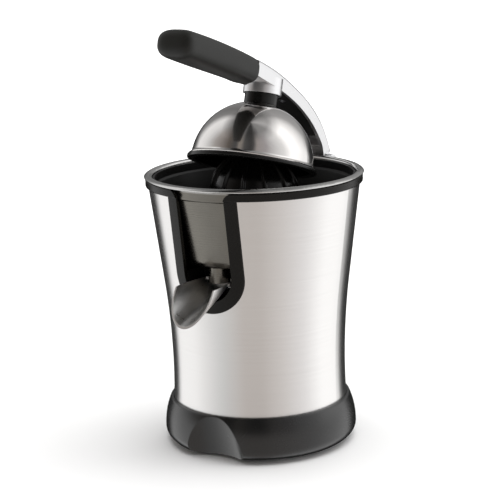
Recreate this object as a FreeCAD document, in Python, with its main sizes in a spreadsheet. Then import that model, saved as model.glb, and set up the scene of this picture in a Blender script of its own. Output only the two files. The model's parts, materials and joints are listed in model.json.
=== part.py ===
import FreeCAD, Part
import Sketcher
import math
import os

V = FreeCAD.Vector
doc = FreeCAD.newDocument("citrus_press")

# ---------------------------------------------------------------- dimensions
# Millimetres. Origin on the floor under the cone axis, +Z up, spout and grip toward -Y.
TABLE = [
    ("jacket_low_rad", 74.13, "drum skin, bottom edge"),
    ("jacket_low_z", 34.5, "drum skin, bottom edge height"),
    ("jacket_mid_rad", 78.2, "end of the waist curve"),
    ("jacket_mid_z", 139.7, "end of the waist curve"),
    ("jacket_top_rad", 88.58, "drum skin, top edge"),
    ("jacket_top_z", 221.3, "drum skin, top edge height"),
    ("jacket_arc", 600.0, "waist curve"),
    ("jacket_wall", 0.8, "sheet thickness"),
    ("slot_half", 32.0, "half width of the front cut-out"),
    ("slot_mid_z", 158.0, "centre of the round end of the cut-out"),
    ("frame_half", 22.0, "half width of the channel inside its frame"),
    ("frame_proud", 1.0, "how far the frame stands out of the skin"),
    ("frame_deep", 3.0, "how far the frame reaches in"),
    ("frame_corner", 8.0, "rounded corner where frame turns into ring"),
    ("ring_out", 91.0, "black ring, outer radius"),
    ("ring_in", 87.7, "black ring, inner radius"),
    ("ring_low_z", 221.6, "black ring, underside"),
    ("ring_top_z", 228.3, "black ring, top"),
    ("base_top_rad", 77.0, "base, top edge"),
    ("base_top_z", 38.5, "base, top edge height"),
    ("base_wide_rad", 82.0, "base, widest"),
    ("base_wide_z", 13.0, "base, height of the widest point"),
    ("base_foot_rad", 74.0, "base, bottom edge"),
    ("base_foot_z", 2.5, "base, bottom edge height"),
    ("base_wall", 3.0, "base, wall"),
    ("recess_rad", 46.3, "hollow for the glass, at the floor"),
    ("recess_y", -112.0, "axis of that hollow"),
    ("foot_rad", 8.0, "rubber foot"),
    ("foot_tall", 3.0, "rubber foot height"),
    ("foot_at", 58.0, "pitch radius of the feet"),
    ("plate_rad", 69.0, "bottom plate"),
    ("plate_wall", 2.5, "bottom plate thickness"),
    ("screw_at", 63.0, "pitch radius of the bottom screws"),
    ("lip_out", 92.0, "bowl lip, outer radius"),
    ("lip_top_z", 231.7, "bowl lip, top"),
    ("bowl_wall", 1.0, "bowl sheet"),
    ("bowl_floor_z", 161.6, "bowl underside"),
    ("tube_rad", 9.0, "outlet tube"),
    ("tube_bore", 7.8, "outlet tube bore"),
    ("tube_y", -60.0, "outlet tube axis"),
    ("tube_low_z", 149.5, "outlet tube end"),
    ("hinge_y", 106.0, "arm hinge axis"),
    ("hinge_z", 221.0, "arm hinge axis"),
    ("arm_tilt", 17.0, "arm raised above its closed place, degrees"),
    ("dome_closed_z", 207.5, "dome rim when closed"),
    ("dome_rad", 51.3, "dome, outer sphere"),
    ("dome_wall", 0.8, "dome sheet"),
    ("liner_rad", 50.1, "dome liner, outer sphere"),
    ("liner_bore", 47.8, "dome liner, inner sphere"),
    ("neck_rad", 14.1, "dome neck"),
    ("ball_rad", 6.5, "ball stud"),
    ("ball_at", 64.0, "ball centre above the closed rim"),
    ("dome_ball", 67.0, "ball centre above the dome rim"),
    ("dome_lean", 2.4, "dome hangs this much steeper than the arm, degrees"),
    ("boss_rad", 16.3, "arm boss"),
    ("boss_low", 56.3, "boss underside above the closed rim"),
    ("arm_half", 15.0, "arm half width"),
    ("arm_flange", 3.0, "arm flange"),
    ("knuckle_half", 13.0, "arm knuckle half width"),
    ("knuckle_rad", 9.2, "arm knuckle"),
    ("pin_rad", 4.0, "hinge pin"),
    ("ear_gap", 14.7, "inside face of an ear"),
    ("ear_wall", 4.6, "ear thickness"),
    ("ear_rad", 8.5, "ear radius"),
    ("shaft_rad", 5.0, "drive shaft"),
    ("shaft_low_z", 108.0, "drive shaft, lower end"),
    ("shaft_top_z", 226.0, "drive shaft, upper end"),
    ("press_travel", 2.5, "cone travel onto the switch"),
    ("cone_low_z", 205.0, "cone skirt"),
    ("cone_rib_wide", 3.2, "cone rib"),
    ("cone_ribs", 12, "number of cone ribs"),
    ("gear_axis", 24.0, "gear centre distance"),
    ("fast_mod", 0.8, "first stage module"),
    ("slow_mod", 1.0, "second stage module"),
    ("pinion_teeth", 12, "both pinions"),
    ("fast_teeth", 48, "first stage wheel"),
    ("slow_teeth", 36, "second stage wheel"),
    ("can_rad", 34.0, "motor can"),
    ("can_low_z", 30.0, "motor can, bottom"),
    ("can_top_z", 88.0, "motor can, top"),
    ("box_rad", 48.0, "gear case"),
    ("box_top_z", 122.0, "gear case deck underside"),
    ("spout_rad", 18.0, "spout half-pipe"),
    ("spout_wall", 1.2, "spout wall"),
    ("spout_pitch", 20.0, "spout slope, degrees"),
    ("spout_pin_y", -66.0, "spout pivot"),
    ("spout_pin_z", 148.0, "spout pivot"),
    ("spout_pin_rad", 2.4, "spout pivot pin"),
    ("grip_half", 16.6, "grip half width"),
    ("gland_bore", 3.6, "cord gland bore"),
    ("gland_z", 18.0, "cord gland height"),
    ("strainer_slots", 36, "slots in the strainer floor"),
]

sheet = doc.addObject("Spreadsheet::Sheet", "Dims")
for i, (name, value, note) in enumerate(TABLE, 1):
    sheet.set("A%d" % i, name)
    sheet.set("B%d" % i, str(value))
    sheet.setAlias("B%d" % i, name)
    sheet.set("C%d" % i, note)
doc.recompute()


class Num:
    """A number together with the expression that gives it from the sheet."""

    def __init__(self, value, text):
        self.v = float(value)
        self.x = text

    @staticmethod
    def of(other):
        if isinstance(other, Num):
            return other
        return Num(other, repr(float(other)))

    def __add__(self, o):
        o = Num.of(o)
        return Num(self.v + o.v, "(%s + %s)" % (self.x, o.x))

    def __radd__(self, o):
        return Num.of(o) + self

    def __sub__(self, o):
        o = Num.of(o)
        return Num(self.v - o.v, "(%s - %s)" % (self.x, o.x))

    def __rsub__(self, o):
        return Num.of(o) - self

    def __mul__(self, o):
        o = Num.of(o)
        return Num(self.v * o.v, "(%s * %s)" % (self.x, o.x))

    __rmul__ = __mul__

    def __neg__(self):
        return Num(-self.v, "(0 - %s)" % self.x)


class Cells:
    def __getattr__(self, name):
        return Num(sheet.get(name), "Dims." + name)


D = Cells()
NODES = []


def node(obj, label):
    obj.Label = label
    NODES.append(obj)
    return obj


# ---------------------------------------------------------------- sketch helpers
def plane(body, role):
    for f in body.Origin.OriginFeatures:
        if f.Role == role:
            return f


def arc_geo(p0, p1, rad, side):
    """Arc from p0 to p1; side +1 bulges to the left of the way of travel."""
    dx, dy = p1[0] - p0[0], p1[1] - p0[1]
    half = math.hypot(dx, dy) / 2
    nx, ny = -dy / (2 * half), dx / (2 * half)
    back = math.sqrt(max(rad * rad - half * half, 0.0))
    cx = (p0[0] + p1[0]) / 2 - side * back * nx
    cy = (p0[1] + p1[1]) / 2 - side * back * ny
    a0 = math.atan2(p0[1] - cy, p0[0] - cx)
    a1 = math.atan2(p1[1] - cy, p1[0] - cx)
    circ = Part.Circle(V(cx, cy, 0), V(0, 0, 1), rad)
    if side > 0:  # clockwise travel, so the arc runs from p1 to p0
        return Part.ArcOfCircle(circ, a1, a0 if a0 > a1 else a0 + 2 * math.pi), True
    return Part.ArcOfCircle(circ, a0, a1 if a1 > a0 else a1 + 2 * math.pi), False


def place_point(s, geo, pos, u, w):
    for kind, axis, q in (("DistanceX", -2, u), ("DistanceY", -1, w)):
        q = Num.of(q)
        if abs(q.v) < 1e-9:
            s.addConstraint(Sketcher.Constraint("PointOnObject", geo, pos, axis))
        else:
            k = s.addConstraint(Sketcher.Constraint(kind, -1, 1, geo, pos, q.v))
            if "Dims" in q.x:
                s.setExpression("Constraints[%d]" % k, q.x)


def draw(s, path):
    """Closed path of (u, w) corners; (u, w, radius, side) is reached by an arc."""
    n = len(path)
    pts = [(Num.of(p[0]).v, Num.of(p[1]).v) for p in path]
    ends = []
    for i in range(n):
        j = (i + 1) % n
        seg = path[j]
        if len(seg) == 4:
            rad = Num.of(seg[2])
            geo, turned = arc_geo(pts[i], pts[j], rad.v, seg[3])
            g = s.addGeometry(geo, False)
            ends.append((g, 2, 1) if turned else (g, 1, 2))
        else:
            g = s.addGeometry(Part.LineSegment(V(pts[i][0], pts[i][1], 0), V(pts[j][0], pts[j][1], 0)), False)
            ends.append((g, 1, 2))
    for i in range(n):
        j = (i + 1) % n
        s.addConstraint(Sketcher.Constraint("Coincident", ends[i][0], ends[i][2], ends[j][0], ends[j][1]))
    for i in range(n):
        place_point(s, ends[i][0], ends[i][1], path[i][0], path[i][1])
    for i in range(n):
        seg = path[(i + 1) % n]
        if len(seg) == 4:
            rad = Num.of(seg[2])
            j = (i + 1) % n
            if abs(2 * rad.v - math.hypot(pts[j][0] - pts[i][0], pts[j][1] - pts[i][1])) < 1e-6:
                # half round: its centre lies level with its ends
                q = Num.of(path[i][1])
                k = s.addConstraint(Sketcher.Constraint("DistanceY", -1, 1, ends[i][0], 3, q.v))
                if "Dims" in q.x:
                    s.setExpression("Constraints[%d]" % k, q.x)
                continue
            k = s.addConstraint(Sketcher.Constraint("Radius", ends[i][0], rad.v))
            if "Dims" in rad.x:
                s.setExpression("Constraints[%d]" % k, rad.x)


def sketch(body, name, role, path=None, circles=()):
    s = body.newObject("Sketcher::SketchObject", name)
    s.AttachmentSupport = (plane(body, role), [""])
    s.MapMode = "FlatFace"
    if path:
        draw(s, path)
    for (u, w, r) in circles:
        u, w, r = Num.of(u), Num.of(w), Num.of(r)
        g = s.addGeometry(Part.Circle(V(u.v, w.v, 0), V(0, 0, 1), r.v), False)
        k = s.addConstraint(Sketcher.Constraint("Radius", g, r.v))
        if "Dims" in r.x:
            s.setExpression("Constraints[%d]" % k, r.x)
        place_point(s, g, 3, u, w)
    return s


def body(label):
    return node(doc.addObject("PartDesign::Body", label), label)


def revolve(b, path, name="Turned"):
    s = sketch(b, b.Label + "_" + name + "_profile", "XZ_Plane", path)
    f = b.newObject("PartDesign::Revolution", b.Label + "_" + name)
    f.Profile = s
    f.ReferenceAxis = (s, ["V_Axis"])
    f.Angle = 360
    doc.recompute()
    return f


def extrude(b, kind, name, role, length, path=None, circles=(), lift=0, back=False, both=False):
    s = sketch(b, b.Label + "_" + name + "_profile", role, path, circles)
    if isinstance(lift, Num) or lift:
        q = Num.of(lift)
        s.AttachmentOffset = FreeCAD.Placement(V(0, 0, q.v), FreeCAD.Rotation())
        if "Dims" in q.x:
            s.setExpression("AttachmentOffset.Base.z", q.x)
    doc.recompute()
    before = b.Shape.Volume if b.Tip is not None and not b.Shape.isNull() else 0.0
    f = b.newObject("PartDesign::" + kind, b.Label + "_" + name)
    f.Profile = s
    q = Num.of(length)
    f.Length = q.v
    if "Dims" in q.x:
        f.setExpression("Length", q.x)
    f.Reversed = back
    if both:
        f.SideType = "Symmetric"
    doc.recompute()
    after = b.Shape.Volume
    if kind == "Pocket" and not after < before - 1e-6:
        raise RuntimeError("%s cuts nothing" % f.Name)
    if kind == "Pad" and not after > before + 1e-6:
        raise RuntimeError("%s adds nothing" % f.Name)
    return f


def ring_of(b, feature, count, name):
    f = b.newObject("PartDesign::PolarPattern", b.Label + "_" + name)
    f.Originals = [feature]
    axis = [o for o in b.Origin.OriginFeatures if o.Role == "Z_Axis"][0]
    f.Axis = (axis, [""])
    f.Angle = 360
    f.Occurrences = int(round(Num.of(count).v))
    if "Dims" in Num.of(count).x:
        f.setExpression("Occurrences", Num.of(count).x)
    b.Tip = f
    doc.recompute()
    return f


# ---------------------------------------------------------------- primitive helpers
def bind(obj, **sizes):
    for prop, q in sizes.items():
        q = Num.of(q)
        setattr(obj, prop, q.v)
        if "Dims" in q.x:
            obj.setExpression(prop, q.x)


def put(obj, x=0, y=0, z=0, axis=None, angle=0):
    q = [Num.of(a) for a in (x, y, z)]
    rot = FreeCAD.Rotation(V(*axis), angle) if axis else FreeCAD.Rotation()
    obj.Placement = FreeCAD.Placement(V(q[0].v, q[1].v, q[2].v), rot)
    for a, c in zip(q, "xyz"):
        if "Dims" in a.x:
            obj.setExpression("Placement.Base." + c, a.x)
    return obj


def cyl(name, rad, tall, x=0, y=0, z=0, axis=None, angle=0):
    o = doc.addObject("Part::Cylinder", name)
    bind(o, Radius=rad, Height=tall)
    return put(o, x, y, z, axis, angle)


def box(name, lx, ly, lz, x=0, y=0, z=0):
    o = doc.addObject("Part::Box", name)
    bind(o, Length=lx, Width=ly, Height=lz)
    return put(o, x, y, z)


def cut(name, a, b):
    o = doc.addObject("Part::Cut", name)
    o.Base, o.Tool = a, b
    return o


def common(name, a, b):
    o = doc.addObject("Part::Common", name)
    o.Base, o.Tool = a, b
    return o


def fuse(name, parts):
    o = doc.addObject("Part::MultiFuse", name)
    o.Shapes = parts
    return o


def group(name, parts):
    o = doc.addObject("Part::Compound", name)
    o.Links = parts
    return o


def free_sketch(name, path):
    """Sketch in the XZ plane, for turned and extruded Part solids."""
    s = doc.addObject("Sketcher::SketchObject", name)
    s.Placement = FreeCAD.Placement(V(0, 0, 0), FreeCAD.Rotation(V(1, 0, 0), 90))
    draw(s, path)
    return s


def turned(name, path):
    s = free_sketch(name + "_profile", path)
    o = doc.addObject("Part::Revolution", name)
    o.Source = s
    o.Axis = V(0, 0, 1)
    o.Base = V(0, 0, 0)
    o.Angle = 360
    o.Solid = True
    return o


def pushed(name, path, front, rear):
    """Extrusion of an XZ outline from y = rear to y = -front (front toward -Y)."""
    s = free_sketch(name + "_profile", path)
    o = doc.addObject("Part::Extrusion", name)
    o.Base = s
    o.DirMode = "Custom"
    o.Dir = V(0, -1, 0)
    o.LengthFwd = front
    o.LengthRev = rear
    o.Solid = True
    return o


def solid_feature(label, shape):
    o = doc.addObject("Part::Feature", label)
    o.Shape = shape
    return node(o, label)


# ================================================================ housing
# ---- base
base_solid = turned("base_solid", [
    (0, D.base_foot_z), (D.base_foot_rad, D.base_foot_z),
    (D.base_wide_rad, D.base_wide_z, 10.5, -1),
    (D.base_top_rad, D.base_top_z - 1.0, 60.0, -1),
    (D.base_top_rad - 0.8, D.base_top_z), (0, D.base_top_z)])


def taper(name, low, top):
    o = doc.addObject("Part::Cone", name)
    bind(o, Radius1=low, Radius2=top, Height=65)
    return put(o, 0, D.recess_y, -5)


recess = taper("recess_tool", D.recess_rad + 1.42, D.recess_rad - 17.0)
recess_wide = taper("recess_wall_tool", D.recess_rad + D.base_wall + 1.42, D.recess_rad + D.base_wall - 17.0)
base_cavity = turned("base_cavity", [
    (0, 0), (D.plate_rad + 0.4, 0), (D.plate_rad + 0.4, 6.2), (D.base_wide_rad - 5.4, 10.0),
    (D.base_wide_rad - 3.8, D.base_wide_z), (D.base_top_rad - 0.5, 27.5), (D.base_top_rad - 3.0, 30.6), (0, 30.6)])
base_throat = turned("base_throat", [
    (0, 29), (60.0, 29), (60.0, D.jacket_low_z - 0.3), (D.jacket_low_rad + 0.35, D.jacket_low_z - 0.3),
    (D.jacket_low_rad + 0.35, 60), (0, 60)])
base_cav2 = cut("base_cavity_front", base_cavity, recess_wide)
base_a = cut("base_a", base_solid, recess)
base_b = cut("base_b", base_a, base_cav2)
base_c = cut("base_c", base_b, base_throat)
gland_hole = cyl("gland_hole", 6.0, 30, 0, 64, D.gland_z, (1, 0, 0), -90)
base_d = cut("base_d", base_c, gland_hole)
bosses, pilots = [], []
for k in range(4):
    a = math.radians(45 + 90 * k)
    cx, cy = D.screw_at * math.cos(a), D.screw_at * math.sin(a)
    bosses.append(cyl("base_boss_%d" % k, 4.5, 26.0, cx, cy, 6.0))
    pilots.append(cyl("base_pilot_%d" % k, 1.6, 14.0, cx, cy, 5.0))
base_e = fuse("base_e", [base_d] + bosses)
base_shell = node(cut("base_shell", base_e, fuse("base_pilots", pilots)), "base_shell")

# ---- bottom plate with cooling slots
bottom = body("bottom_plate")
extrude(bottom, "Pad", "disc", "XY_Plane", D.plate_wall, circles=[(0, 0, D.plate_rad)], lift=D.foot_tall)
vent = extrude(bottom, "Pocket", "vent", "XY_Plane", D.plate_wall + 1, path=[
    (18, -1.5), (40, -1.5), (40, 1.5), (18, 1.5)], lift=D.foot_tall - 0.5, back=True)
ring_of(bottom, vent, 12, "vents")
hole = extrude(bottom, "Pocket", "hole", "XY_Plane", D.plate_wall + 1, circles=[
    (D.screw_at * math.cos(math.pi / 4), D.screw_at * math.sin(math.pi / 4), 2.0)],
    lift=D.foot_tall - 0.5, back=True)
ring_of(bottom, hole, 4, "holes")
extrude(bottom, "Pocket", "front", "XY_Plane", D.plate_wall + 1, circles=[(0, D.recess_y, D.recess_rad + 2.8)],
        lift=D.foot_tall - 0.5, back=True)

feet = []
for k, deg in enumerate((60, 120, 240, 300)):
    a = math.radians(deg)
    c = doc.addObject("Part::Cone", "foot_%d" % k)
    bind(c, Radius1=D.foot_rad - 0.8, Radius2=D.foot_rad, Height=D.foot_tall)
    put(c, D.foot_at * math.cos(a), D.foot_at * math.sin(a), 0)
    feet.append(c)
node(group("rubber_feet", feet), "rubber_feet")

screws = []
for k in range(4):
    a = math.radians(45 + 90 * k)
    cx, cy = D.screw_at * math.cos(a), D.screw_at * math.sin(a)
    head = cyl("bscrew_head_%d" % k, 3.4, 1.8, cx, cy, D.foot_tall - 1.8)
    shank = cyl("bscrew_shank_%d" % k, 1.5, 14.0, cx, cy, D.foot_tall - 0.1)
    drive = box("bscrew_drive_%d" % k, 4.4, 0.9, 0.9, cx - 2.2, cy - 0.45, D.foot_tall - 1.8)
    screws.append(cut("bscrew_%d" % k, fuse("bscrew_f%d" % k, [head, shank]), drive))
node(group("bottom_screws", screws), "bottom_screws")

# ---- cord gland at the back of the base
gl = body("cord_gland")
gl_prof = [(D.gland_bore, 0), (5.9, 0), (5.9, 7.0), (9.0, 7.0), (9.0, 9.0), (6.4, 10.2), (5.4, 16.0), (D.gland_bore, 16.0)]
revolve(gl, gl_prof)
put(gl, 0, 75.0, D.gland_z, (1, 0, 0), -90)

# ---- drum skin
U_top = 240.0


def slot(half, mid, corner=None, top=U_top):
    half, mid = Num.of(half), Num.of(mid)
    if corner is None:
        return [(-half, top), (-half, mid), (half, mid, half, -1), (half, top)]
    corner = Num.of(corner)
    knee = D.ring_top_z - corner
    return [(-half - corner, top), (-half - corner, D.ring_top_z), (-half, knee, corner, +1), (-half, mid),
            (half, mid, half, -1), (half, knee), (half + corner, D.ring_top_z, corner, +1), (half + corner, top)]


jacket = body("steel_jacket")
revolve(jacket, [
    (D.jacket_low_rad, D.jacket_low_z),
    (D.jacket_mid_rad, D.jacket_mid_z, D.jacket_arc, +1),
    (D.jacket_top_rad, D.jacket_top_z),
    (D.jacket_top_rad - D.jacket_wall, D.jacket_top_z),
    (D.jacket_mid_rad - D.jacket_wall, D.jacket_mid_z),
    (D.jacket_low_rad - D.jacket_wall, D.jacket_low_z, D.jacket_arc + D.jacket_wall, -1)])
extrude(jacket, "Pocket", "front", "XZ_Plane", 120, path=slot(D.slot_half, D.slot_mid_z), back=True)
extrude(jacket, "Pocket", "screwholes", "XZ_Plane", 120, circles=[(-9, 202, 2.2), (9, 202, 2.2)])


# ---- black ring that runs down into the channel frame
def skin(name, out, low, top):
    """Solid of revolution under the skin line, moved outward by out, between two heights."""
    low_rad = 73.4 + (low - 64.0) ** 2 / 1200.0
    slope = (D.jacket_top_rad.v - D.jacket_mid_rad.v) / (D.jacket_top_z.v - D.jacket_mid_z.v)
    top_rad = D.jacket_mid_rad.v + slope * (top - D.jacket_mid_z.v)
    if top > D.jacket_mid_z.v and low < D.jacket_mid_z.v:
        return turned(name, [(0, low), (low_rad + out, low),
                             (D.jacket_mid_rad + out, D.jacket_mid_z, D.jacket_arc - out, +1),
                             (top_rad + out, top), (0, top)])
    base_rad = D.jacket_mid_rad.v + slope * (low - D.jacket_mid_z.v)
    return turned(name, [(0, low), (base_rad + out, low), (top_rad + out, top), (0, top)])


frame_shell = cut("frame_shell", skin("frame_outer", D.frame_proud.v, 121.0, 225.0), skin("frame_inner", -D.frame_deep.v, 120.0, 226.0))
frame_u = pushed("frame_u", slot(D.slot_half - 0.2, D.slot_mid_z, top=225.0), 110, 0)
frame_band = common("frame_band", frame_shell, frame_u)
ring = turned("ring_solid", [
    (D.ring_in, D.ring_low_z), (D.ring_out - 1.2, D.ring_low_z),
    (D.ring_out, D.ring_low_z + 1.2, 1.2, -1), (D.ring_out, D.ring_top_z - 1.0),
    (D.ring_out - 1.0, D.ring_top_z, 1.0, -1), (D.ring_in, D.ring_top_z)])
frame_all = fuse("frame_all", [frame_band, ring])
frame_cut = pushed("frame_cut", slot(D.frame_half, D.slot_mid_z, D.frame_corner), 110, 0)
bowl_room = cyl("bowl_room", 86.85, 20, 0, 0, 218.6)
top_trim = node(cut("top_trim", cut("frame_open", frame_all, frame_cut), bowl_room), "top_trim")

# ---- recess behind the channel
niche_block = common("niche_block", pushed("niche_u", slot(D.frame_half + 2.0, D.slot_mid_z, top=158.6), 110, -47.0),
                     skin("niche_limit", -D.frame_deep.v - 0.25, 121.0, 159.0))
niche_hole = pushed("niche_hole", slot(D.frame_half, D.slot_mid_z), 110, -49.0)
niche_pins = cyl("niche_pin_holes", D.spout_pin_rad + 0.06, 80, -40, D.spout_pin_y, D.spout_pin_z, (0, 1, 0), 90)
spout_niche = node(cut("spout_niche", cut("niche_a", niche_block, niche_hole), niche_pins), "spout_niche")

# ---- wet-side tub, carries the gear case on four posts
tub_turn = turned("tub_turn", [
    (9.0, 150.0), (77.6, 150.0), (79.0, 152.5), (86.42, 214.0), (84.22, 214.0), (76.8, 152.6), (11.5, 152.6), (11.5, 180.0), (9.0, 180.0)])
posts = []
for k in range(4):
    a = math.radians(45 + 90 * k)
    posts.append(cyl("tub_post_%d" % k, 5.0, 150.5 - 125.2, 58.0 * math.cos(a), 58.0 * math.sin(a), 125.2))
tub_all = fuse("tub_all", [tub_turn] + posts)
tub_front = pushed("tub_front", slot(D.slot_half + 0.5, D.slot_mid_z), 110, -46.5)
tub_holes = [cyl("tub_hole_%d" % k, 2.05, 40, x, 70, 202.0, (1, 0, 0), -90) for k, x in enumerate((-9, 9))]
for k in range(4):
    a = math.radians(45 + 90 * k)
    tub_holes.append(cyl("tub_pilot_%d" % k, 1.6, 14.0, 58.0 * math.cos(a), 58.0 * math.sin(a), 120.0))
inner_tub = node(cut("inner_tub", cut("tub_b", tub_all, tub_front), fuse("tub_holes", tub_holes)), "inner_tub")

# ---- bowl
bowl = body("juice_bowl")
bw = D.bowl_wall
revolve(bowl, [
    (12.5, D.bowl_floor_z + 26.4), (12.5, D.bowl_floor_z), (66.0, D.bowl_floor_z),
    (74.8, 170.0, 9.6, -1), (85.0, 219.2), (86.4, 220.4), (86.4, 227.4), (87.4, 228.5),
    (D.lip_out - 1.3, 228.5), (D.lip_out, 229.8, 1.3, -1),
    (88.3, D.lip_top_z, 5.2, -1), (85.4, 229.4, 3.4, -1),
    (85.4, 220.9), (84.0, 219.7), (73.8, 170.2), (66.0, D.bowl_floor_z + bw, 8.6, +1),
    (13.5, D.bowl_floor_z + bw), (13.5, D.bowl_floor_z + 26.4)])
extrude(bowl, "Pad", "tube", "XY_Plane", D.bowl_floor_z + 0.5 - D.tube_low_z, circles=[(0, D.tube_y, D.tube_rad)], lift=D.tube_low_z)
extrude(bowl, "Pocket", "bore", "XY_Plane", 20, circles=[(0, D.tube_y, D.tube_bore)], lift=D.tube_low_z - 2, back=True)

# ---- strainer
st = body("strainer")
revolve(st, [
    (14.6, 196.5), (76.2, 196.5), (78.6, 199.2, 2.6, -1), (83.3, 220.0), (84.9, 221.2), (84.9, 228.6), (83.2, 228.6),
    (83.2, 222.0), (81.7, 220.4), (77.2, 200.2), (75.8, 198.5), (17.0, 198.5), (17.0, 201.4), (14.6, 201.4)])
sl = extrude(st, "Pocket", "slot", "XY_Plane", 12, path=[(44, -1.1), (71, -1.1), (72, 0), (71, 1.1), (44, 1.1), (43, 0)], lift=190, back=True)
ring_of(st, sl, D.strainer_slots, "slots")
sl2 = extrude(st, "Pocket", "inslot", "XY_Plane", 12, path=[(22, -1.0), (39, -1.0), (39, 1.0), (22, 1.0)], lift=190, back=True)
ring_of(st, sl2, 18, "inslots")

# ---- hinge bracket
hy, hz = D.hinge_y.v, D.hinge_z.v
er, eg, ew = D.ear_rad.v, D.ear_gap.v, D.ear_wall.v


def yz_face(points, x0):
    return Part.Face(Part.makePolygon([V(x0, y, z) for y, z in points + points[:1]]))


ear_pts = [(78, 190), (93.5, 190), (97.0, 193.5), (112.6, 215.6), (106.0, 221.0), (99.3, 215.8), (96.0, 219.2), (78, 219.2)]
ears = None
for x0 in (eg, -eg - ew):
    e = yz_face(ear_pts, x0).extrude(V(ew, 0, 0))
    e = e.fuse(Part.makeCylinder(er, ew, V(x0, hy, hz), V(1, 0, 0)))
    ears = e if ears is None else ears.fuse(e)
plate_pts = [(78, 190), (93.5, 190), (94.8, 192.0), (94.8, 217.2), (93.5, 219.2), (78, 219.2)]
bracket = ears.fuse(yz_face(plate_pts, -eg - ew).extrude(V(2 * (eg + ew), 0, 0)))
slope = (D.jacket_top_rad.v - D.jacket_mid_rad.v) / (D.jacket_top_z.v - D.jacket_mid_z.v)


def drum_cone(out, low, top):
    r0 = D.jacket_mid_rad.v + slope * (low - D.jacket_mid_z.v) + out
    r1 = D.jacket_mid_rad.v + slope * (top - D.jacket_mid_z.v) + out
    return Part.makeCone(r0, r1, top - low, V(0, 0, low))


bracket = bracket.cut(drum_cone(0.12, 160.0, 240.0))
bracket = bracket.cut(Part.makeCylinder(D.pin_rad.v + 0.02, 60, V(-30, hy, hz), V(1, 0, 0)))
for x in (-9, 9):
    bracket = bracket.cut(Part.makeCylinder(2.1, 60, V(x, 60, 202), V(0, 1, 0)))
bracket = bracket.removeSplitter()
solid_feature("hinge_bracket", bracket)

pin = Part.makeCylinder(D.pin_rad.v, 2 * (eg + ew) + 0.6, V(-eg - ew - 0.3, hy, hz), V(1, 0, 0))
for s in (-1, 1):
    x = s * (eg + ew + 0.3)
    pin = pin.fuse(Part.makeCone(6.2, 5.2, 1.6, V(x, hy, hz), V(s, 0, 0)))
solid_feature("hinge_pin", pin.removeSplitter())

bs = []
for x in (-9, 9):
    one = Part.makeCylinder(3.6, 2.4, V(x, 94.85, 202), V(0, 1, 0)).fuse(Part.makeCylinder(1.95, 12.4, V(x, 82.6, 202), V(0, 1, 0)))
    one = one.cut(Part.makeBox(1.0, 1.4, 5.2, V(x - 0.5, 96.2, 199.4))).cut(Part.makeBox(5.2, 1.4, 1.0, V(x - 2.6, 96.2, 201.5)))
    bs.append(one.removeSplitter())
solid_feature("bracket_screws", Part.makeCompound(bs))

# ================================================================ drive
ga = D.gear_axis.v
can = body("motor_can")
revolve(can, [
    (3.2, D.can_low_z), (D.can_rad - 3, D.can_low_z), (D.can_rad, D.can_low_z + 3, 3.0, -1), (D.can_rad, D.can_top_z),
    (D.can_rad - 1.6, D.can_top_z), (D.can_rad - 1.6, D.can_low_z + 3.2), (D.can_rad - 3.2, D.can_low_z + 1.6, 1.6, +1),
    (7.0, D.can_low_z + 1.6), (7.0, D.can_low_z + 6), (3.2, D.can_low_z + 6)])
mags = []
for s in (-1, 1):
    shell = Part.makeCylinder(D.can_rad.v - 1.7, 40, V(0, 0, 40)).cut(Part.makeCylinder(25.0, 40, V(0, 0, 40)))
    shell = shell.common(Part.makeBox(90, 60, 60, V(-45, 8 if s > 0 else -68, 30)))
    mags.append(shell)
solid_feature("motor_magnets", Part.makeCompound(mags))

end = body("motor_end_plate")
revolve(end, [(3.2, D.can_top_z + 0.1), (D.box_rad, D.can_top_z + 0.1), (D.box_rad, D.can_top_z + 4), (3.2, D.can_top_z + 4)])
extrude(end, "Pocket", "idlerpin", "XY_Plane", 20, circles=[(0, D.gear_axis, 3.0)], lift=D.can_top_z - 5, back=True)

# rotor: core with slots, shaft, first pinion
core = body("rotor_core")
extrude(core, "Pad", "stack", "XY_Plane", 34, circles=[(0, 0, 24.0)], lift=43)
extrude(core, "Pocket", "bore", "XY_Plane", 60, circles=[(0, 0, 3.0)], lift=38, back=True)
gap = extrude(core, "Pocket", "gap", "XY_Plane", 60, path=[(15, -2.4), (22, -2.4), (22, -0.8), (26, -0.8), (26, 0.8), (22, 0.8), (22, 2.4), (15, 2.4)], lift=38, back=True)
ring_of(core, gap, 9, "gaps")

node(cyl("rotor_shaft", 3.0, 103.4 - 31.8, 0, 0, 31.8), "rotor_shaft")


def gear_shape(teeth, module, tall, low, turn, thin=0.10):
    """Spur wheel with involute flanks, pressure angle 25 degrees."""
    pa = math.radians(25.0)
    rp = teeth * module / 2.0
    rb = rp * math.cos(pa)
    ra = rp + 0.96 * module
    rf = rp - 1.22 * module
    half = (math.pi * module / 2.0 - thin) / (2.0 * rp)
    inv = math.tan(pa) - pa
    pts = []
    steps = 5
    start = max(rb, rf + 0.05)
    for k in range(teeth):
        mid = math.radians(turn) + 2 * math.pi * k / teeth
        flank = []
        for i in range(steps + 1):
            r = start + (ra - start) * i / steps
            al = math.acos(min(1.0, rb / r))
            flank.append((r, half + inv - (math.tan(al) - al)))
        root = flank[0][1] + 0.015
        left = [(rf, -root)] + [(r, -w) for r, w in flank]
        right = [(r, w) for r, w in reversed(flank)] + [(rf, root)]
        for r, w in left + right:
            pts.append(V(r * math.cos(mid + w), r * math.sin(mid + w), low))
    pts.append(pts[0])
    return Part.Face(Part.makePolygon(pts)).extrude(V(0, 0, tall))


n1, n2, n3 = int(D.pinion_teeth.v), int(D.fast_teeth.v), int(D.slow_teeth.v)
m1, m2 = D.fast_mod.v, D.slow_mod.v
pinion = gear_shape(n1, m1, 8.4, 94.4, 90.0).cut(Part.makeCylinder(3.0, 30, V(0, 0, 80)))
solid_feature("motor_pinion", pinion)

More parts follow.
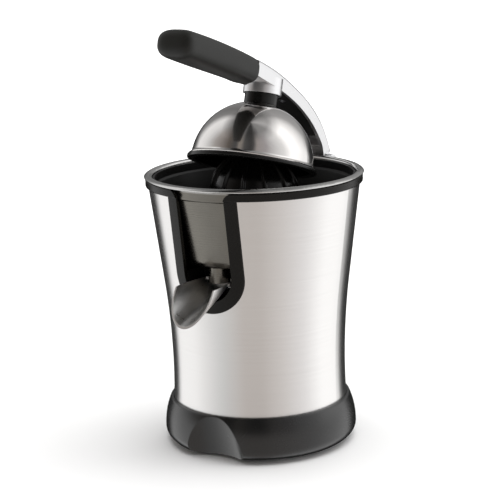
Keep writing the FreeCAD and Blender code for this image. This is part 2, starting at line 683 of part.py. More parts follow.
# idler: wheel and second pinion in one moulding, turns on a fixed pin behind the axis
wheel = gear_shape(n2, m1, 7.0, 95.2, 270.0 + 180.0 / n2)
second = gear_shape(n1, m2, 12.6, 102.0, 270.0)
hub = Part.makeCylinder(4.9, 1.2, V(0, 0, 94.0))
idler = wheel.fuse([second, hub]).cut(Part.makeCylinder(3.06, 60, V(0, 0, 80))).removeSplitter()
idler.translate(V(0, ga, 0))
solid_feature("idler_gear", idler)
node(cyl("idler_pin", 3.0, 121.0 - 88.2, 0, D.gear_axis, 88.2), "idler_pin")

# output wheel: six-sided bore, the shaft slides through it
hexr = 4.7


def hexagon(rad, low, tall, turn=0.0):
    pts = [V(rad * math.cos(math.radians(60 * k + turn)), rad * math.sin(math.radians(60 * k + turn)), low) for k in range(7)]
    return Part.Face(Part.makePolygon(pts)).extrude(V(0, 0, tall))


out = gear_shape(n3, m2, 7.4, 106.4, 90.0 + 180.0 / n3)
out = out.fuse(Part.makeCylinder(8.6, 121.0 - 113.0, V(0, 0, 113.0))).cut(hexagon(hexr + 0.1, 100, 30)).removeSplitter()
solid_feature("output_gear", out)

# gear case: cup, deck and bush boss
case = body("gearbox_case")
revolve(case, [
    (7.0, D.box_top_z), (D.box_rad - 2.2, D.box_top_z), (D.box_rad - 2.2, D.can_top_z + 4.2), (D.box_rad, D.can_top_z + 4.2),
    (D.box_rad, D.box_top_z), (64.0, D.box_top_z), (64.0, D.box_top_z + 3), (9.6, D.box_top_z + 3), (9.6, D.box_top_z + 12), (7.0, D.box_top_z + 12)])
gh = extrude(case, "Pocket", "screwhole", "XY_Plane", 10, circles=[(58.0 * math.cos(math.pi / 4), 58.0 * math.sin(math.pi / 4), 2.0)], lift=D.box_top_z - 2, back=True)
ring_of(case, gh, 4, "screwholes")
trim = extrude(case, "Pocket", "front", "XY_Plane", 12, path=[(-26, -70), (26, -70), (26, -52), (-26, -52)], lift=D.box_top_z - 2, back=True)

gs = []
for k in range(4):
    a = math.radians(45 + 90 * k)
    cx, cy = 58.0 * math.cos(a), 58.0 * math.sin(a)
    gs.append(fuse("gscrew_%d" % k, [cyl("gscrew_head_%d" % k, 3.4, 2.2, cx, cy, D.box_top_z - 2.2),
                                      cyl("gscrew_shank_%d" % k, 1.55, 10.0, cx, cy, D.box_top_z - 0.1)]))
node(group("gearbox_screws", gs), "gearbox_screws")

bush = body("shaft_bush")
revolve(bush, [(5.06, D.box_top_z), (6.98, D.box_top_z), (6.98, D.box_top_z + 12), (5.06, D.box_top_z + 12)])

seal = body("shaft_seal")
revolve(seal, [(5.08, 172.0), (5.9, 170.4), (8.95, 170.4), (8.95, 179.6), (5.9, 179.6), (5.08, 178.0)])

# shaft: six-sided ends, collar above the thrust washer, pin of the cone on top
sr = D.shaft_rad.v
lowz, topz = D.shaft_low_z.v, D.shaft_top_z.v
shaft = hexagon(hexr, lowz, 124.4 - lowz).fuse(Part.makeCylinder(sr, 190.0 - 124.4, V(0, 0, 124.4)))
shaft = shaft.fuse(hexagon(hexr, 190.0, topz - 190.0)).fuse(Part.makeCylinder(8.0, 2.0, V(0, 0, 145.4)))
solid_feature("drive_shaft", shaft.removeSplitter())

# thrust washer with the finger that works the switch
th = Part.makeCylinder(11.0, 3.0, V(0, 0, 142.2)).fuse(Part.makeBox(12.0, 6.0, 3.0, V(-21.5, -3.0, 142.2)))
th = th.fuse(Part.makeBox(3.6, 6.0, 3.4, V(-21.5, -3.0, 139.9))).cut(Part.makeCylinder(5.06, 40, V(0, 0, 130)))
solid_feature("thrust_collar", th.removeSplitter())

# return spring between the bush boss and the thrust washer
wire = 0.55
helix = Part.makeHelix(2.3, 6.9 - 2 * wire + 1.1, 8.0)
prof = Part.Wire(Part.Circle(V(8.0, 0, 0), V(0, 1, 0), wire).toShape())
spring = Part.Wire(helix).makePipeShell([prof], True, True)
spring.translate(V(0, 0, 134.65))
solid_feature("return_spring", spring)

# switch on the gear case deck, and its lever
sw = Part.makeBox(20.0, 6.4, 10.0, V(-41.0, -3.2, 125.2)).fuse(Part.makeBox(2.6, 6.4, 2.4, V(-41.0, -3.2, 135.0)))
sw = sw.cut(Part.makeCylinder(0.86, 20, V(-39.7, -10, 136.4), V(0, 1, 0)))
solid_feature("microswitch", sw.removeSplitter())
lv = Part.makeCylinder(0.8, 7.4, V(-39.7, -3.7, 136.4), V(0, 1, 0))
strips = None
for y0 in (-4.9, 3.6):
    t = Part.makeBox(5.0, 1.3, 0.5, V(-0.4, y0, -0.25))
    strips = t if strips is None else strips.fuse(t)
strips = strips.fuse(Part.makeBox(17.0, 9.8, 0.5, V(4.0, -4.9, -0.25)))
strips.rotate(V(0, 0, 0), V(0, 1, 0), -8.0)
strips.translate(V(-39.7, 0, 136.4))
lv = lv.fuse(strips).removeSplitter()
solid_feature("switch_lever", lv)

# cone: ribbed reamer
cone_core = turned("cone_core", [
    (0, D.cone_low_z), (39.4, D.cone_low_z), (39.4, 206.4), (36.4, 209.0), (35.9, 216.0), (34.9, 221.5), (33.0, 226.6),
    (30.2, 231.4), (26.2, 236.0), (20.8, 240.2), (14.6, 243.2), (8.0, 245.2), (3.0, 246.0), (0, 246.0)])
cone_crest = turned("cone_crest", [
    (8.7, 206.0), (38.2, 206.0), (38.9, 209.0), (38.5, 216.5), (37.5, 222.6), (35.5, 228.0), (32.5, 233.2), (28.2, 238.0),
    (22.6, 242.4), (16.0, 245.6), (12.0, 246.8), (8.7, 245.8)])
slabs = []
for k in range(int(D.cone_ribs.v)):
    o = box("cone_slab_%d" % k, 60, D.cone_rib_wide, 60)
    turn = 360.0 * (k + 0.5) / D.cone_ribs.v
    o.Placement = FreeCAD.Placement(FreeCAD.Rotation(V(0, 0, 1), turn).multVec(V(0, -D.cone_rib_wide.v / 2, 200)), FreeCAD.Rotation(V(0, 0, 1), turn))
    slabs.append(o)
cone_ribs = common("cone_ribs_all", cone_crest, fuse("cone_slabs", slabs))
cone_void = turned("cone_void", [
    (9.4, 200.0), (36.2, 200.0), (36.2, D.cone_low_z + 0.6), (34.2, 209.0), (33.6, 216.6), (31.2, 224.6), (27.0, 231.4), (19.0, 237.8), (9.4, 241.4)])
cone_socket = turned("cone_socket", [(0, 200.0), (12.0, 200.0), (12.0, 208.0), (5.0, 208.0), (5.0, 226.6), (0, 226.6)])
cone_all = fuse("cone_all", [cone_core, cone_ribs])
node(cut("press_cone", cut("cone_hollow", cone_all, cone_void), cone_socket), "press_cone")

# ================================================================ arm
tilt = D.arm_tilt.v
ct, st_ = math.cos(math.radians(tilt)), math.sin(math.radians(tilt))
# closed rim centre turned back about the hinge
ry, rz = -hy, D.dome_closed_z.v - hz
dome_y = hy + ry * ct + rz * st_
dome_z = hz - ry * st_ + rz * ct
axis = V(0, st_, ct)


def on_axis(height):
    return V(0, dome_y + st_ * height, dome_z + ct * height)


# the dome hangs on its ball a little steeper than the arm
steep = tilt + D.dome_lean.v
hang = V(0, math.sin(math.radians(steep)), math.cos(math.radians(steep)))
dome_place = FreeCAD.Placement(on_axis(D.ball_at.v) - hang * D.dome_ball.v, FreeCAD.Rotation(V(1, 0, 0), -steep))


OUT = [(-11.0, 325.2), (7.3, 317.9), (23.9, 310.3), (40.7, 301.2), (58.0, 290.8), (75.6, 278.2), (91.0, 264.2), (102.4, 249.6), (109.6, 236.0), (114.2, 225.5), (115.2, 221.0)]
INN = [(-14.8, 312.8), (1.5, 305.8), (17.3, 299.0), (33.2, 291.3), (49.9, 281.8), (66.2, 270.4), (79.8, 258.4), (89.2, 247.6), (95.2, 238.6), (97.4, 229.0), (96.9, 221.0)]


def curve(points, x):
    c = Part.BSplineCurve()
    c.interpolate([V(x, y, z) for y, z in points])
    return c.toShape()


def mix(s, i0=0, i1=None):
    pts = [(a[0] + (b[0] - a[0]) * s, a[1] + (b[1] - a[1]) * s) for a, b in zip(OUT, INN)]
    return pts[i0:i1]


def band(a, b, half):
    """Solid between two side curves, half wide each way."""
    e1, e2 = curve(a, -half), curve(b, -half)
    l1 = Part.makeLine(V(-half, a[-1][0], a[-1][1]), V(-half, b[-1][0], b[-1][1]))
    l2 = Part.makeLine(V(-half, b[0][0], b[0][1]), V(-half, a[0][0], a[0][1]))
    w = Part.Wire(Part.__sortEdges__([e1, l1, e2, l2]))
    return Part.Face(w).extrude(V(2 * half, 0, 0))


ah = D.arm_half.v
arm = band(OUT, INN, ah)
# soften the long outer edges
try:
    long_edges = [e for e in arm.Edges if e.Length > 120 and e.BoundBox.ZMax > 320]
    arm2 = arm.makeFillet(2.2, long_edges)
    if arm2.isValid() and abs(arm2.Volume - arm.Volume) < 0.05 * arm.Volume:
        arm = arm2
except Exception:
    pass
arm = arm.fuse(Part.makeCylinder(D.knuckle_rad.v, 2 * ah, V(-ah, hy, hz), V(1, 0, 0)))
channel = band(mix(0.36, 1, 9), mix(1.35, 1, 9), ah - D.arm_flange.v)
arm = arm.cut(channel)
boss = Part.makeCylinder(D.boss_rad.v, 14.2, on_axis(D.boss_low.v), axis)
arm = arm.fuse(boss)
tang_pts = [(-8.0, 322.0), (-88.0, 347.0), (-90.0, 340.6), (-10.0, 315.4)]
tang = Part.Face(Part.makePolygon([V(-9, y, z) for y, z in tang_pts + tang_pts[:1]])).extrude(V(18, 0, 0))
arm = arm.fuse(tang)
for s in (-1, 1):
    side = Part.makeCylinder(11.4, 8.0, V(s * D.knuckle_half.v, hy, hz), V(s, 0, 0))
    arm = arm.cut(side)
arm = arm.cut(Part.makeCylinder(6.0, 60, V(-30, hy, hz), V(1, 0, 0)))
# socket for the neck, its ring and the ball
arm = arm.cut(Part.makeCylinder(15.2, 3.4, on_axis(D.boss_low.v - 0.5), axis))
arm = arm.cut(Part.makeCylinder(13.05, 4.3, on_axis(59.0), axis))
arm = arm.cut(Part.makeSphere(D.ball_rad.v + 0.08, on_axis(D.ball_at.v)))
arm = arm.removeSplitter()

liner = band(mix(0.37, 3, 8), mix(0.86, 3, 8), ah - D.arm_flange.v - 0.15)
liner = liner.cut(Part.makeCylinder(D.boss_rad.v + 0.3, 40, on_axis(50), axis))
arm_screws = []
for k in (4, 7):
    a0, a1 = mix(0.86)[k], mix(0.0)[k]
    way = V(0, a1[0] - a0[0], a1[1] - a0[1]).normalize()
    at = V(0, a0[0], a0[1])
    liner = liner.cut(Part.makeCylinder(1.5, 30, at - way * 10, way)).cut(Part.makeCylinder(3.1, 11.6, at - way * 10, way))
    lever_pilot = Part.makeCylinder(1.36, 7.6, at, way)
    arm = arm.cut(lever_pilot)
    one = Part.makeCylinder(2.8, 1.3, at + way * 0.25, way).fuse(Part.makeCylinder(1.3, 6.0, at + way * 1.5, way))
    one = one.cut(Part.makeCylinder(1.0, 0.7, at + way * 0.2, way))
    arm_screws.append(one.removeSplitter())
solid_feature("lever_arm", arm)
solid_feature("arm_liner", liner)
solid_feature("arm_screws", Part.makeCompound(arm_screws))

# grip: soft handle over the tang
R0, T0 = (-12.6, 318.6), (-117.5, 349.2)
gx, gz = T0[0] - R0[0], T0[1] - R0[1]
gl_ = math.hypot(gx, gz)
gu = (gx / gl_, gz / gl_)
gn = (gu[1], -gu[0])  # upward normal of the grip axis
if gn[1] < 0:
    gn = (-gn[0], -gn[1])
gh_ = D.grip_half.v
# along the grip: share of length, half width, half height, offset along the normal
STATIONS = [(-0.11, 13.5, 8.6, -3.0), (0.0, 15.8, 10.4, -1.2), (0.06, 16.2, 10.8, -1.1), (0.25, gh_ - 0.2, 11.7, -0.5), (0.5, gh_, 12.1, -0.2),
            (0.75, gh_, 12.1, 0.0), (0.9, gh_ - 0.3, 11.8, 0.2), (0.965, gh_ - 1.6, 10.2, 0.2), (1.0, gh_ - 5.0, 6.2, 0.0)]


def grip_section(share, hw, hh, off):
    cy = R0[0] + gx * share + gn[0] * off
    cz = R0[1] + gz * share + gn[1] * off
    pts = []
    for k in range(28):
        t = 2 * math.pi * k / 28
        c, s = math.cos(t), math.sin(t)
        u = hw * math.copysign(abs(c) ** 0.62, c)
        w = hh * math.copysign(abs(s) ** 0.72, s)
        pts.append(V(u, cy + gn[0] * w, cz + gn[1] * w))
    c = Part.BSplineCurve()
    c.interpolate(pts, PeriodicFlag=True)
    return Part.Wire(c.toShape())


grip = Part.makeLoft([grip_section(*s) for s in STATIONS], True, False)
if grip.Volume < 0:
    grip.reverse()
grow = [(-4.06, 320.98), (-88.34, 347.31), (-90.61, 340.2), (-6.3, 313.9)]
tang_hole = Part.Face(Part.makePolygon([V(-9.2, y, z) for y, z in grow + grow[:1]])).extrude(V(18.4, 0, 0))
grip = grip.cut(tang_hole)
grip = grip.cut(band(mix(-0.3, 0, 4), mix(1.03, 0, 4), 20.0))
grip = grip.cut(Part.makeCylinder(D.boss_rad.v + 0.3, 40, on_axis(50), axis))
solid_feature("grip", grip)

# hinge bushes and friction washers turn with the arm
bl, wl = [], []
kh = D.knuckle_half.v
for s in (-1, 1):
    b1 = Part.makeCylinder(5.98, 9.0, V(s * (kh - 9.0), hy, hz), V(s, 0, 0)).cut(Part.makeCylinder(D.pin_rad.v + 0.06, 40, V(-20, hy, hz), V(1, 0, 0)))
    bl.append(b1)
    w1 = Part.makeCylinder(8.2, 1.3, V(s * (kh + 0.05), hy, hz), V(s, 0, 0)).cut(Part.makeCylinder(D.pin_rad.v + 0.08, 40, V(-20, hy, hz), V(1, 0, 0)))
    wl.append(w1)
solid_feature("hinge_bushes", Part.makeCompound(bl))
solid_feature("friction_washers", Part.makeCompound(wl))

# ring that holds the ball in the boss
ret = Part.makeCylinder(13.0, 4.0, on_axis(59.05), axis)
ret = ret.cut(Part.makeSphere(D.ball_rad.v + 0.08, on_axis(D.ball_at.v))).cut(Part.makeCylinder(5.5, 4.0, on_axis(58.5), axis))
solid_feature("ball_retainer", ret)

# ================================================================ dome, built upright about its own rim
shell = body("dome_shell")
dr, dw = D.dome_rad, D.dome_wall
revolve(shell, [
    (9.0, 51.504), (50.69, 8.90, dr, +1), (51.4, 4.6), (53.4, 2.3, 3.0, -1), (53.2, 1.5), (50.7, 4.2, 3.6, +1), (49.9, 8.79),
    (9.0, 50.69, dr - dw, -1)])
shell.Placement = dome_place

lin = body("dome_liner")
revolve(lin, [
    (3.2, 50.6), (9.0, 50.285), (49.66, 7.6, D.liner_rad, +1), (49.9, 3.9), (51.2, 1.2), (53.9, 1.2), (54.6, 0.4, 0.8, +1), (54.6, -1.2), (53.6, -2.2, 1.0, +1),
    (49.0, -2.2), (47.8, -1.0, 1.2, +1), (47.8, 0.0), (3.2, 47.69, D.liner_bore, -1)])
lin.Placement = dome_place

nr = D.neck_rad.v
nk = Part.makeCylinder(nr, 9.4, V(0, 0, 50.0)).cut(Part.makeSphere(D.dome_rad.v + 0.06, V(0, 0, 1.0)))
nk = nk.fuse(Part.makeCone(nr, nr - 0.8, 0.8, V(0, 0, 59.4))).fuse(Part.makeCylinder(8.8, 1.7, V(0, 0, 51.0)))
nk = nk.fuse(Part.makeCylinder(4.2, 5.0, V(0, 0, 60.0))).fuse(Part.makeSphere(D.ball_rad.v, V(0, 0, D.dome_ball.v)))
nk = nk.cut(Part.makeCylinder(2.05, 11.9, V(0, 0, 49.0))).removeSplitter()
solid_feature("dome_neck", nk)
NODES[-1].Placement = dome_place

dscrew = body("dome_screw")
revolve(dscrew, [(0, 46.2), (1.6, 46.2), (1.6, 45.4), (4.4, 45.4), (5.4, 46.4, 1.0, -1), (5.4, 47.3), (2.0, 47.3), (2.0, 60.4), (0, 60.4)])
dscrew.Placement = dome_place

# ================================================================ spout
pr, pw = D.spout_rad.v, D.spout_wall.v
sp = math.radians(D.spout_pitch.v)
su = V(0, -math.cos(sp), -math.sin(sp))
sn = V(0, -math.sin(sp), math.cos(sp))
tail = V(0, -57.0, 126.0 + (112.0 - 57.0) * math.tan(sp))
reach = 63.0 / math.cos(sp)
mid_line = tail + sn * pr
chute = Part.makeCylinder(pr, reach, mid_line, su).cut(Part.makeCylinder(pr - pw, reach, mid_line + su * 1.4, su))
chute = chute.cut(Part.makeBox(80, 200, 80, V(-40, -180, 152.2)))
nose = [(-118.8, 123.0), (-98.0, 152.8), (-98.0, 220.0), (-190.0, 220.0), (-190.0, 98.0), (-118.8, 98.0)]
chute = chute.cut(Part.Face(Part.makePolygon([V(-40, y, z) for y, z in nose + nose[:1]])).extrude(V(80, 0, 0)))
py, pz = D.spout_pin_y.v, D.spout_pin_z.v
for s in (-1, 1):
    stub = Part.makeCylinder(D.spout_pin_rad.v, 9.2, V(s * 11.8, py, pz), V(s, 0, 0))
    chute = chute.fuse(stub)
chute = chute.cut(Part.makeCylinder(pr - pw, reach, mid_line + su * 1.4, su))
chute = chute.cut(Part.makeBox(21.0, 32.0, 20.0, V(-10.5, -72.0, 148.9)))
solid_feature("spout_chute", chute.removeSplitter())

# ================================================================ write the solids
doc.recompute()
bad = [o.Name for o in doc.Objects if "Invalid" in o.State or "Error" in o.State]
if bad:
    raise RuntimeError("objects in error: %s" % bad)
os.makedirs("parts", exist_ok=True)
for o in NODES:
    shape = o.Shape
    if shape.isNull() or not shape.isValid() or not shape.Solids:
        raise RuntimeError("%s has no valid solid" % o.Label)
    shape.exportStep("parts/%s.step" % o.Label)
    bb = shape.BoundBox
    print("%-18s %2d solids %10.0f mm3  x %7.1f %7.1f  y %7.1f %7.1f  z %7.1f %7.1f" % (
        o.Label, len(shape.Solids), shape.Volume, bb.XMin, bb.XMax, bb.YMin, bb.YMax, bb.ZMin, bb.ZMax))
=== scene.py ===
import json
import math

import bpy
import bmesh
import numpy as np
from mathutils import Matrix, Vector


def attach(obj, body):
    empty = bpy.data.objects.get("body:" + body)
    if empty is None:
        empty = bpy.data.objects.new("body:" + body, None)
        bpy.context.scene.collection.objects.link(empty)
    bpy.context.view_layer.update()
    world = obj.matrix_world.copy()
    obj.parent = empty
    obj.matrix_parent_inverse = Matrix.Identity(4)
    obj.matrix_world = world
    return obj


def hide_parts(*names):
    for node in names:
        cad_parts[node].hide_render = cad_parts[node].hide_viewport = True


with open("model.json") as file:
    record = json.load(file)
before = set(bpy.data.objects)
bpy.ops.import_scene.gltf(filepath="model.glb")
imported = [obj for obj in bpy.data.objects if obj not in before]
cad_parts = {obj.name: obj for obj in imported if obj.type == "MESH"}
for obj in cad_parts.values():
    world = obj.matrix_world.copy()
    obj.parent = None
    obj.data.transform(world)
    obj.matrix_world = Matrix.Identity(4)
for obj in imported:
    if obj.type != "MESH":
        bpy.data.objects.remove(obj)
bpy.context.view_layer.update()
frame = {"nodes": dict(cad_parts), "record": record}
nodes = frame["nodes"]
scene = bpy.context.scene
MM = 0.001


# ---------------------------------------------------------------- node helpers
class Tree:
    """Small writer for a material's node tree."""

    def __init__(self, name):
        self.mat = bpy.data.materials.new(name)
        self.mat.use_nodes = True
        self.t = self.mat.node_tree
        self.t.nodes.clear()
        self.out = self.add("ShaderNodeOutputMaterial")
        self.bsdf = self.add("ShaderNodeBsdfPrincipled")
        self.link(self.bsdf.outputs["BSDF"], self.out.inputs["Surface"])
        self.coord = self.add("ShaderNodeTexCoord").outputs["Object"]

    def add(self, kind, **props):
        n = self.t.nodes.new(kind)
        for k, v in props.items():
            setattr(n, k, v)
        return n

    def link(self, a, b):
        self.t.links.new(a, b)

    def set(self, **values):
        for k, v in values.items():
            self.bsdf.inputs[k.replace("_", " ")].default_value = v

    def math(self, op, a, b=None, clamp=False):
        n = self.add("ShaderNodeMath", operation=op, use_clamp=clamp)
        for i, v in enumerate((a, b)):
            if v is None:
                continue
            if isinstance(v, (int, float)):
                n.inputs[i].default_value = v
            else:
                self.link(v, n.inputs[i])
        return n.outputs[0]

    def scaled(self, vec, sx, sy, sz):
        n = self.add("ShaderNodeVectorMath", operation="MULTIPLY")
        self.link(vec, n.inputs[0])
        n.inputs[1].default_value = (sx, sy, sz)
        return n.outputs[0]

    def noise(self, vec, scale, detail=3.0, rough=0.55):
        n = self.add("ShaderNodeTexNoise")
        n.inputs["Scale"].default_value = scale
        n.inputs["Detail"].default_value = detail
        n.inputs["Roughness"].default_value = rough
        self.link(vec, n.inputs["Vector"])
        return n.outputs["Fac"]

    def ramp(self, fac, stops):
        n = self.add("ShaderNodeValToRGB")
        r = n.color_ramp
        while len(r.elements) < len(stops):
            r.elements.new(0.5)
        for e, (p, c) in zip(r.elements, stops):
            e.position = p
            e.color = (c[0], c[1], c[2], 1.0) if not isinstance(c, (int, float)) else (c, c, c, 1.0)
        self.link(fac, n.inputs["Fac"])
        return n.outputs["Color"]

    def span(self, fac, lo, hi, from_lo=0.3, from_hi=0.7):
        n = self.add("ShaderNodeMapRange")
        n.inputs["From Min"].default_value = from_lo
        n.inputs["From Max"].default_value = from_hi
        n.inputs["To Min"].default_value = lo
        n.inputs["To Max"].default_value = hi
        self.link(fac, n.inputs["Value"])
        return n.outputs["Result"]

    def bump(self, height, strength, distance, after=None):
        n = self.add("ShaderNodeBump")
        n.inputs["Strength"].default_value = strength
        n.inputs["Distance"].default_value = distance
        self.link(height, n.inputs["Height"])
        if after is not None:
            self.link(after, n.inputs["Normal"])
        return n.outputs["Normal"]

    def edge(self, radius, samples=5):
        """Normal with the sharp corners rounded over, as a moulding or a deburred sheet has them."""
        n = self.add("ShaderNodeBevel", samples=samples)
        n.inputs["Radius"].default_value = radius
        return n.outputs["Normal"]

    def polar(self):
        """Angle about Z, height and radius of a point, as separate values."""
        s = self.add("ShaderNodeSeparateXYZ")
        self.link(self.coord, s.inputs[0])
        ang = self.math("ARCTAN2", s.outputs["Y"], s.outputs["X"])
        return ang, s.outputs["Z"], s

    def vec(self, x, y, z):
        n = self.add("ShaderNodeCombineXYZ")
        for i, v in enumerate((x, y, z)):
            if isinstance(v, (int, float)):
                n.inputs[i].default_value = v
            else:
                self.link(v, n.inputs[i])
        return n.outputs[0]

    def color(self, sock):
        self.link(sock, self.bsdf.inputs["Base Color"])

    def rough(self, sock):
        self.link(sock, self.bsdf.inputs["Roughness"])

    def normal(self, sock):
        self.link(sock, self.bsdf.inputs["Normal"])


def lin(c):
    return tuple(x / 12.92 if x <= 0.04045 else ((x + 0.055) / 1.055) ** 2.4 for x in c)


# ---------------------------------------------------------------- materials
def brushed_drum(name):
    """Steel sheet brushed round the drum: fine streaks along the circumference."""
    t = Tree(name)
    t.set(Metallic=1.0, Anisotropic=0.80, Anisotropic_Rotation=0.25)
    ang, z, _ = t.polar()
    fine = t.noise(t.vec(t.math("MULTIPLY", ang, 1.3), t.math("MULTIPLY", z, 5200.0), 0.0), 1.0, 4.0, 0.7)
    broad = t.noise(t.vec(t.math("MULTIPLY", ang, 0.6), t.math("MULTIPLY", z, 520.0), 3.0), 1.0, 3.0, 0.6)
    cloud = t.noise(t.coord, 14.0, 2.0)
    mixd = t.math("ADD", t.math("MULTIPLY", fine, 0.72), t.math("MULTIPLY", broad, 0.28))
    t.color(t.ramp(mixd, [(0.30, (0.685, 0.672, 0.660)), (0.70, (0.745, 0.735, 0.725))]))
    t.rough(t.math("ADD", t.span(mixd, 0.225, 0.265), t.span(cloud, -0.010, 0.015)))
    t.normal(t.bump(fine, 0.05, 0.00010))
    tan = t.add("ShaderNodeTangent", direction_type="RADIAL", axis="Z")
    t.link(tan.outputs[0], t.bsdf.inputs["Tangent"])
    return t.mat


def polished(name, base, rough, streak=0.0, corner=0.00025):
    """Mirror-like spun steel with faint turning marks and wiping haze."""
    t = Tree(name)
    t.set(Metallic=1.0)
    haze = t.noise(t.coord, 35.0, 4.0, 0.6)
    fine = t.noise(t.coord, 900.0, 2.0, 0.5)
    lo = tuple(b * 0.95 for b in base)
    t.color(t.ramp(haze, [(0.30, lo), (0.72, base)]))
    t.rough(t.math("ADD", t.span(haze, rough * 0.80, rough * 1.25), t.span(fine, -0.01, 0.012)))
    t.normal(t.bump(fine, 0.015 + streak, 0.00003, t.edge(corner)))
    return t.mat


def bowl_steel_painted_shade(name):
    """Deep-drawn bowl: bright rolled lip; below it a rougher spun wall whose colour is painted dark, as painted shade
    and dark reflection.
    """
    t = Tree(name)
    t.set(Metallic=1.0)
    ang, z, _ = t.polar()
    haze = t.noise(t.coord, 30.0, 4.0, 0.6)
    spun = t.noise(t.vec(t.math("MULTIPLY", ang, 0.8), t.math("MULTIPLY", z, 1500.0), 0.0), 1.0, 3.0, 0.6)
    # painted shade: below the rolled lip (z under 0.2262 m) the colour drops far darker to stand in for shade and dark
    # reflections on the wall; the haze noise adds real random variation
    wall_shade_and_haze = t.math("ADD", t.span(z, 0.0, 0.9, 0.2262, 0.2280), t.span(haze, 0.0, 0.1))
    # the two darkest stops are the painted shade of the wall, the two bright stops are the lip's own steel
    t.color(t.ramp(wall_shade_and_haze, [(0.0, (0.165, 0.156, 0.138)), (0.10, (0.190, 0.180, 0.160)), (0.90, (0.52, 0.515, 0.505)), (1.0, (0.56, 0.555, 0.545))]))
    t.rough(t.math("ADD", t.span(wall_shade_and_haze, 0.27, 0.16, 0.1, 0.9), t.span(spun, -0.03, 0.03)))
    t.normal(t.bump(spun, 0.04, 0.00005, t.edge(0.0003)))
    return t.mat


def satin_metal(name, base, rough, grain=1500.0, depth=0.05, corner=0.0005):
    """Fine-blasted or satin metal."""
    t = Tree(name)
    t.set(Metallic=1.0)
    g = t.noise(t.coord, grain, 3.0, 0.6)
    c = t.noise(t.coord, 28.0, 3.0)
    lo = tuple(b * 0.94 for b in base)
    t.color(t.ramp(c, [(0.30, lo), (0.70, base)]))
    t.rough(t.math("ADD", t.span(c, rough - 0.03, rough + 0.04), t.span(g, -0.03, 0.03)))
    t.normal(t.bump(g, depth, 0.00008, t.edge(corner)))
    return t.mat


def moulded(name, base, rough, grain=1400.0, depth=0.10, coat=0.0, coat_rough=0.1, sheen=0.0, spec=0.5, warm=1.12, corner=0.0006):
    """Moulded plastic: fine tool texture, slow colour drift, uneven gloss."""
    t = Tree(name)
    t.set(Coat_Weight=coat, Coat_Roughness=coat_rough, Sheen_Weight=sheen, Sheen_Roughness=0.45)
    t.bsdf.inputs["Specular IOR Level"].default_value = spec
    g = t.noise(t.coord, grain, 3.0, 0.6)
    c = t.noise(t.coord, 24.0, 3.0)
    hi = tuple(min(1.0, b * warm) for b in base)
    lo = tuple(b * 0.88 for b in base)
    t.color(t.ramp(c, [(0.30, lo), (0.70, hi)]))
    t.rough(t.math("ADD", t.span(c, rough - 0.03, rough + 0.04), t.span(g, -0.03, 0.04)))
    t.normal(t.bump(g, depth, 0.00010, t.edge(corner)))
    return t.mat


M = {
    "brushed_steel": brushed_drum("steel_brushed"),
    "polished_steel": bowl_steel_painted_shade("steel_bowl_painted_wall_shade"),
    "dome_steel": polished("steel_dome", (0.66, 0.64, 0.625), 0.105),
    "chrome": polished("chrome_bright", (0.86, 0.855, 0.845), 0.32),
    "alloy": satin_metal("alloy_satin", (0.74, 0.74, 0.745), 0.30),
    "black_satin": moulded("plastic_black_satin", (0.0048, 0.0048, 0.0045), 0.34, 1600.0, 0.05, spec=0.30),
    "black_gloss": moulded("plastic_black_gloss", (0.0050, 0.0050, 0.0046), 0.22, 700.0, 0.012, spec=0.27),
    "trim_black": moulded("plastic_black_trim", (0.0050, 0.0046, 0.0036), 0.24, 700.0, 0.012, spec=0.19),
    "base_black": moulded("plastic_black_base", (0.0052, 0.0052, 0.0050), 0.22, 900.0, 0.02, spec=0.60, corner=0.0009),
    "strainer_black": moulded("plastic_black_strainer", (0.0040, 0.0040, 0.0038), 0.38, 1500.0, 0.05, spec=0.22),
    "soft_black": moulded("grip_soft_black", (0.0075, 0.0075, 0.0062), 0.46, 2200.0, 0.14, sheen=0.03, spec=0.30, corner=0.0010),
    "rubber": moulded("rubber_black", (0.012, 0.012, 0.012), 0.72, 1200.0, 0.25, spec=0.3),
    "zinc_steel": satin_metal("steel_zinc", (0.62, 0.63, 0.65), 0.26, corner=0.0003),
    "motor_steel": satin_metal("steel_motor", (0.33, 0.345, 0.36), 0.42),
    "magnet": moulded("ferrite", (0.045, 0.045, 0.05), 0.75, 900.0, 0.3),
    "bronze": satin_metal("bronze_sintered", (0.62, 0.42, 0.20), 0.36, 1100.0, 0.15, corner=0.0003),
    "white_nylon": moulded("nylon_white", (0.72, 0.71, 0.66), 0.42, 1500.0, 0.05, warm=1.06, corner=0.0003),
    "grey_plastic": moulded("plastic_grey", (0.07, 0.07, 0.074), 0.45, 1500.0, 0.10),
    "switch_blue": moulded("plastic_blue", (0.02, 0.035, 0.10), 0.40, 1500.0, 0.06, corner=0.0003),
}

slot_of = {s["node"]: s["material_slot"] for s in frame["record"]["subparts"]}


def paint(ob, mat):
    ob.data.materials.clear()
    ob.data.materials.append(mat)


for n, o in nodes.items():
    paint(o, M[slot_of[n]])
for n, m in (("dome_shell", "dome_steel"), ("base_shell", "base_black"), ("strainer", "strainer_black"), ("spout_niche", "strainer_black"), ("top_trim", "trim_black")):
    paint(nodes[n], M[m])


